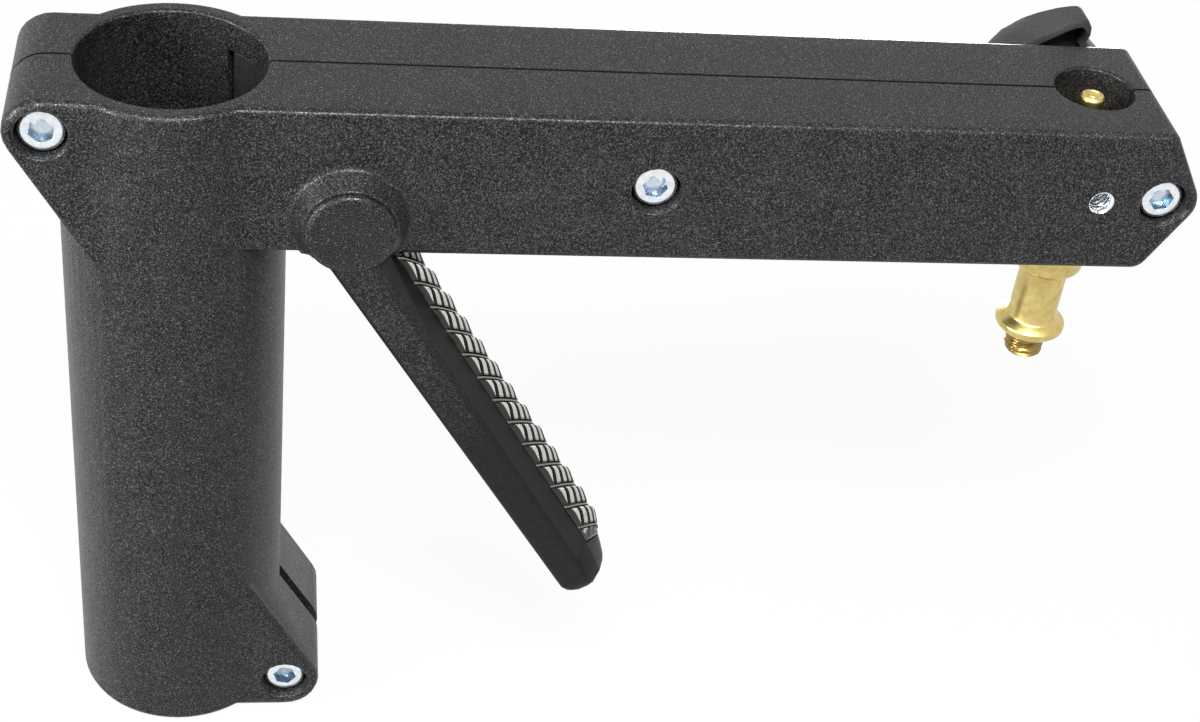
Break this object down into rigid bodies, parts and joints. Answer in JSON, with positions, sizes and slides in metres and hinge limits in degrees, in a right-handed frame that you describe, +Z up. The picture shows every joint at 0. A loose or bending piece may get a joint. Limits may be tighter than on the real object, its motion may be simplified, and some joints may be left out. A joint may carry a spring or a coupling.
{
  "type": "column side arm",
  "caption": "Cast side arm: a column sleeve with a cam lever and brake shoe, and a long arm with a brass spigot held in its end by a wing knob.",
  "frame": {"origin": "on the column's axis at the sleeve's bottom rim", "axes": "+X along the arm, +Z up the column, -Y the side of the lever"},
  "size_m": [0.263, 0.0632, 0.1819],
  "materials": {
    "coat": "cast light alloy under a fine grained black powder coat",
    "grip": "satin black, moulded",
    "zinc": "bright bluish zinc plating",
    "steel": "ground steel",
    "brass": "turned, bright",
    "plastic": "dark grey, moulded",
    "pad": "dull brown black"
  },
  "bodies": {
    "bracket": {"front_shell": "coat", "rear_shell": "coat", "upper_ear_screw": "zinc", "arm_screw": "zinc", "tip_screw": "zinc", "lower_ear_screw": "zinc", "upper_ear_nut": "zinc", "arm_nut": "zinc", "tip_nut": "zinc", "lower_ear_nut": "zinc", "front_bushing": "brass", "rear_bushing": "brass", "shaft_washer": "zinc", "front_insert": "zinc", "wing_bushing": "brass"},
    "lever": {"lever": "coat", "lever_grip": "grip", "cam_shaft": "steel", "shaft_ring": "steel"},
    "shoe": {"brake_shoe": "pad"},
    "spigot": {"spigot": "brass"},
    "pad": {"clamp_pad": "brass"},
    "wing": {"wing_stud": "zinc", "wing_knob": "plastic"}
  },
  "joints": [
    {"name": "lever_turn", "type": "hinge", "parent": "bracket", "child": "lever", "pos_m": [0.0382, 0, 0.1515], "axis": [0, 1, 0], "range_deg": [0, 20]},
    {"name": "shoe_slide", "type": "slide", "parent": "bracket", "child": "shoe", "axis": [-1, 0, 0], "range_m": [0, 0.00091]},
    {"name": "spigot_turn", "type": "hinge", "parent": "bracket", "child": "spigot", "pos_m": [0.206, 0, 0.1602], "axis": [0, 0, 1], "continuous": true},
    {"name": "pad_slide", "type": "slide", "parent": "bracket", "child": "pad", "axis": [0, 1, 0], "range_m": [0, 0.002]},
    {"name": "wing_turn", "type": "hinge", "parent": "pad", "child": "wing", "pos_m": [0.206, 0.02, 0.1602], "axis": [0, 1, 0], "range_deg": [0, 720]}
  ],
  "couplings": [
    {"joint": "shoe_slide", "follows": "lever_turn", "m_per_rad": 0.0025868},
    {"joint": "wing_turn", "follows": "pad_slide", "rad_per_m": 6283.2}
  ]
}
